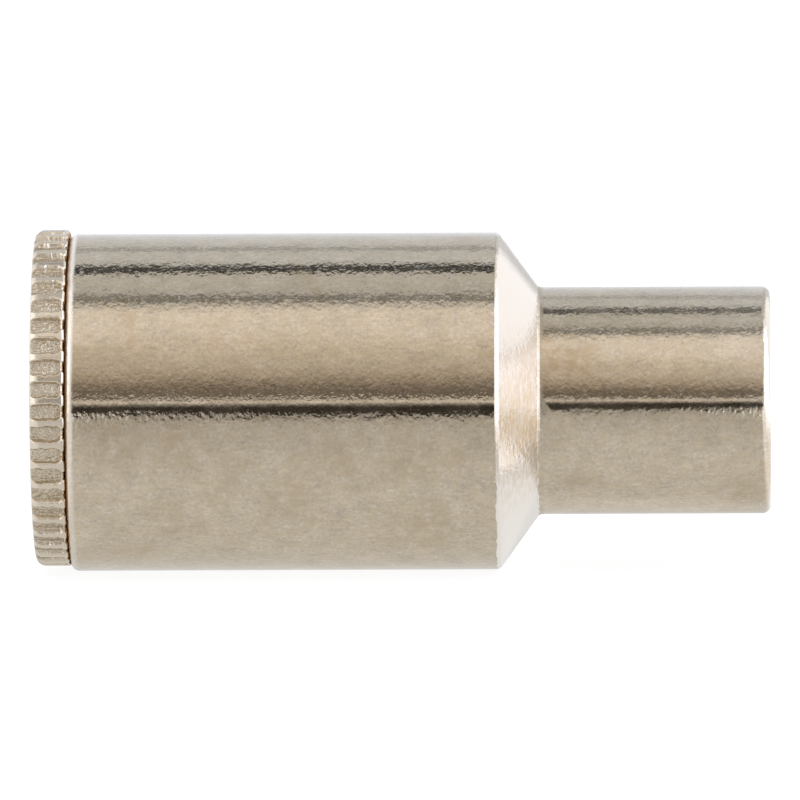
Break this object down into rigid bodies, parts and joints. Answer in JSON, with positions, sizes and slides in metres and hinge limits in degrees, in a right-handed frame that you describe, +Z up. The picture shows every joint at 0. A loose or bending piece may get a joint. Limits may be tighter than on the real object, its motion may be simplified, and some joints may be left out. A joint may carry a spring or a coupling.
{
  "type": "right-angle coaxial plug",
  "caption": "Right-angle coaxial plug with a turned plated body, a knurled screw cap at the rear and a clamped cable entry at the side.",
  "frame": {"origin": "on the plug's axis, at the root of the plug sleeve where the cone ends", "axes": "+X out of the plug sleeve along its axis, +Y towards the cable entry, +Z up as the plug lies on a table"},
  "size_m": [0.0307, 0.0272, 0.0143],
  "materials": {
    "nickel_plate": "satin nickel plate on brass, slightly uneven",
    "bright_steel": "bright plated steel",
    "natural_plastic": "natural polyethylene",
    "fibre_board": "pressed insulating fibre",
    "gasket_rubber": "black rubber"
  },
  "bodies": {
    "housing": {"body": "nickel_plate", "insulator": "natural_plastic", "centre_pin": "nickel_plate", "contact_screw": "bright_steel", "cable_socket": "nickel_plate", "braid_clamp": "nickel_plate", "cable_gasket": "gasket_rubber"},
    "liner": {"cap_liner": "fibre_board"},
    "cap": {"screw_cap": "nickel_plate"},
    "washer": {"slip_washer": "bright_steel"},
    "nut": {"clamp_nut": "nickel_plate"}
  },
  "joints": [
    {"name": "cap_travel", "type": "slide", "parent": "housing", "child": "liner", "axis": [-1, 0, 0], "range_m": [0, 0.003]},
    {"name": "cap_turn", "type": "hinge", "parent": "liner", "child": "cap", "pos_m": [-0.01969, 0, 0.00019], "axis": [-1, 0, 0], "range_deg": [0, 1440]},
    {"name": "nut_travel", "type": "slide", "parent": "housing", "child": "washer", "axis": [0, 0.9969, -0.0791], "range_m": [0, 0.003]},
    {"name": "nut_turn", "type": "hinge", "parent": "washer", "child": "nut", "pos_m": [-0.0107, 0.01317, -0.00105], "axis": [0, 0.9969, -0.0791], "range_deg": [0, 1440]}
  ],
  "couplings": [
    {"joint": "cap_turn", "follows": "cap_travel", "rad_per_m": 8377.6},
    {"joint": "nut_turn", "follows": "nut_travel", "rad_per_m": 8377.6}
  ]
}
